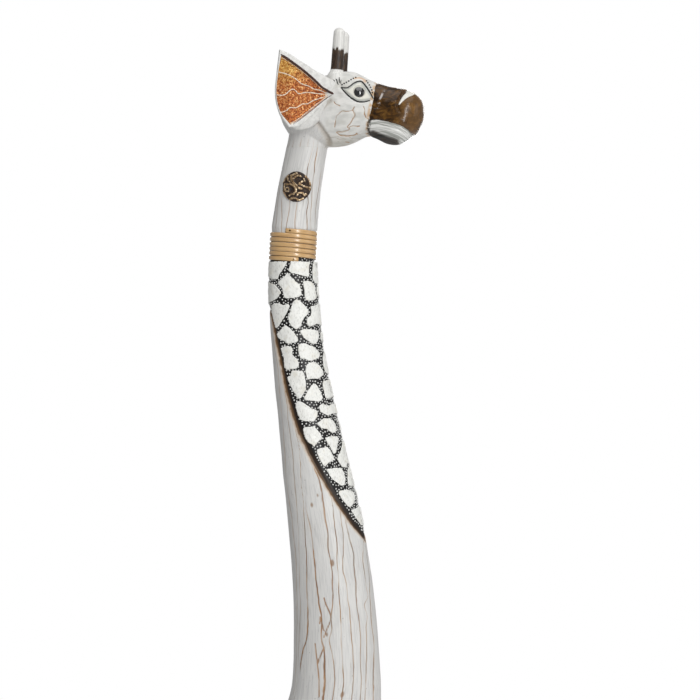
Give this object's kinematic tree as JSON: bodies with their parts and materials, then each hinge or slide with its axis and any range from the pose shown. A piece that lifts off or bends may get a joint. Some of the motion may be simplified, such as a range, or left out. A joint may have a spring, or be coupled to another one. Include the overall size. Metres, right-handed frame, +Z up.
{
  "type": "carved giraffe statue",
  "caption": "Tall standing giraffe carved in whitewashed wood, with a long neck, cane binding, mosaic throat panel and wide copper-lined ears.",
  "frame": {"origin": "on the floor under the middle of the statue's bounding box", "axes": "+Z up along the neck; the giraffe faces -Y; its left side is +X, its right side -X"},
  "size_m": [0.123, 0.3228, 1.198],
  "materials": {
    "whitewashed_wood": "whitewash paint crackled over carved light wood",
    "ear_wood": "whitewashed outside, copper glitter inside",
    "horn_wood": "whitewash with a dark brown band",
    "eye_bead": "gloss black",
    "cane": "clear-lacquered split cane",
    "brad": "dark headed pin",
    "roundel_bronze": "bronze paint with gilt scrolls",
    "mosaic_chip": "satin white resin chips",
    "raw_dowel": "bare turned wood"
  },
  "bodies": {
    "root": {"neck": "whitewashed_wood", "torso": "whitewashed_wood", "leg_front_right": "whitewashed_wood", "leg_front_left": "whitewashed_wood", "leg_rear_right": "whitewashed_wood", "leg_rear_left": "whitewashed_wood", "head": "whitewashed_wood", "ear_left": "ear_wood", "ear_right": "ear_wood", "ear_pegs": "raw_dowel", "horn_left": "horn_wood", "horn_right": "horn_wood", "eye_left": "eye_bead", "eye_right": "eye_bead", "cane_binding": "cane", "binding_brads": "brad", "roundel_left": "roundel_bronze", "roundel_right": "roundel_bronze", "mosaic_chips": "mosaic_chip", "head_dowel": "raw_dowel", "neck_torso_dowel": "raw_dowel", "leg_dowels": "raw_dowel", "tail": "whitewashed_wood", "tail_peg": "raw_dowel"}
  },
  "joints": []
}
